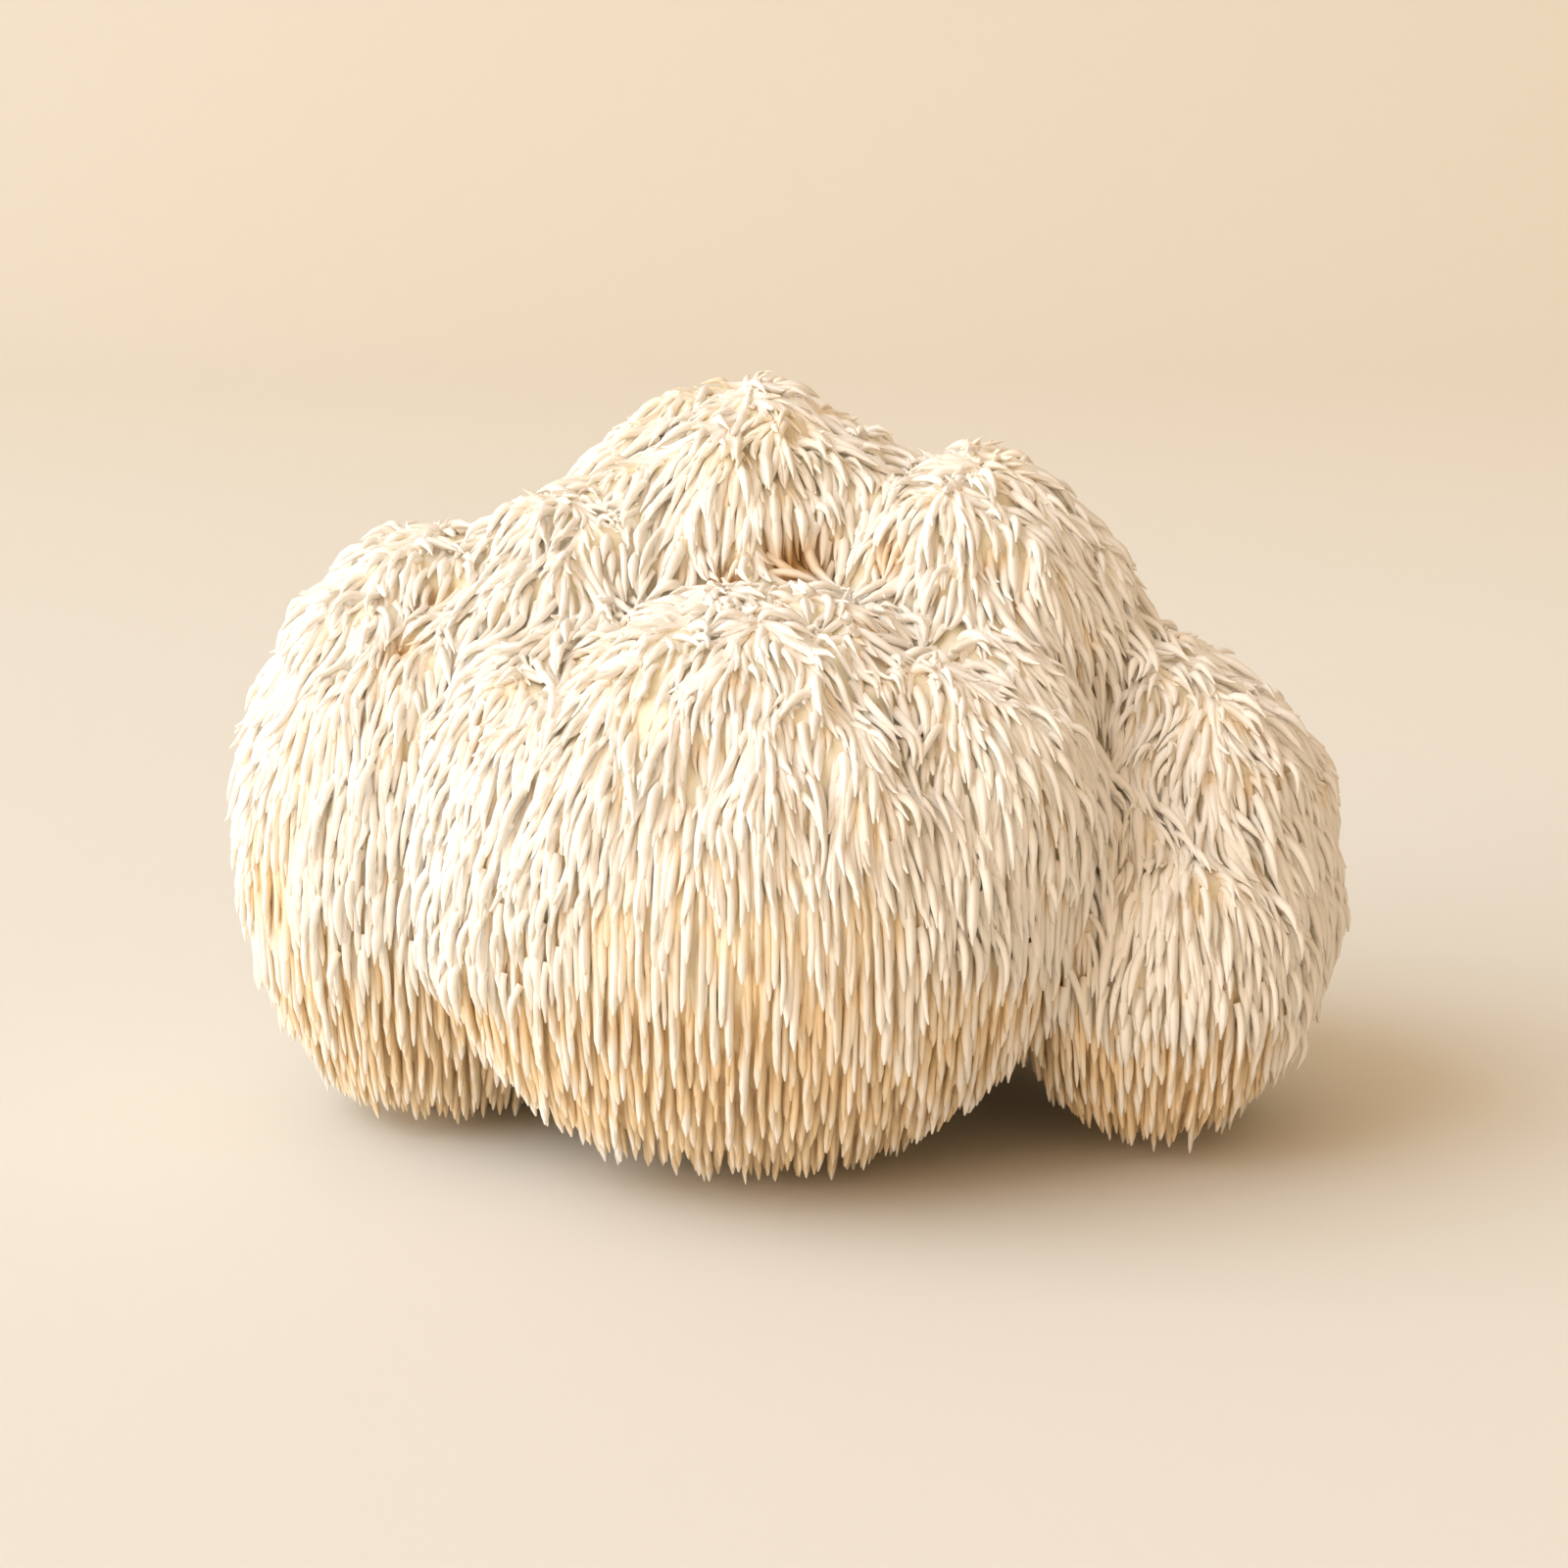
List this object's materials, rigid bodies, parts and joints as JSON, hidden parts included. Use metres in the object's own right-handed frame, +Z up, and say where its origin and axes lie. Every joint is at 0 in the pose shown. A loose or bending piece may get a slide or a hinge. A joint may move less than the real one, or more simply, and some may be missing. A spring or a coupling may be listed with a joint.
{
  "type": "lion's mane mushroom",
  "caption": "Picked lion's mane mushroom: a cluster of rounded cream lobes covered in soft hanging spines, standing on its flat cut and lowest tips.",
  "frame": {"origin": "the middle of the mushroom's footprint box, on the surface it stands on", "axes": "+Z up as it stands, -Y towards the side with the large front lobe, +X along its width"},
  "size_m": [0.1496, 0.1162, 0.0973],
  "materials": {
    "mushroom_flesh": "cream white, matt and slightly moist"
  },
  "bodies": {
    "root": {"fruiting_body": "mushroom_flesh"}
  },
  "joints": []
}
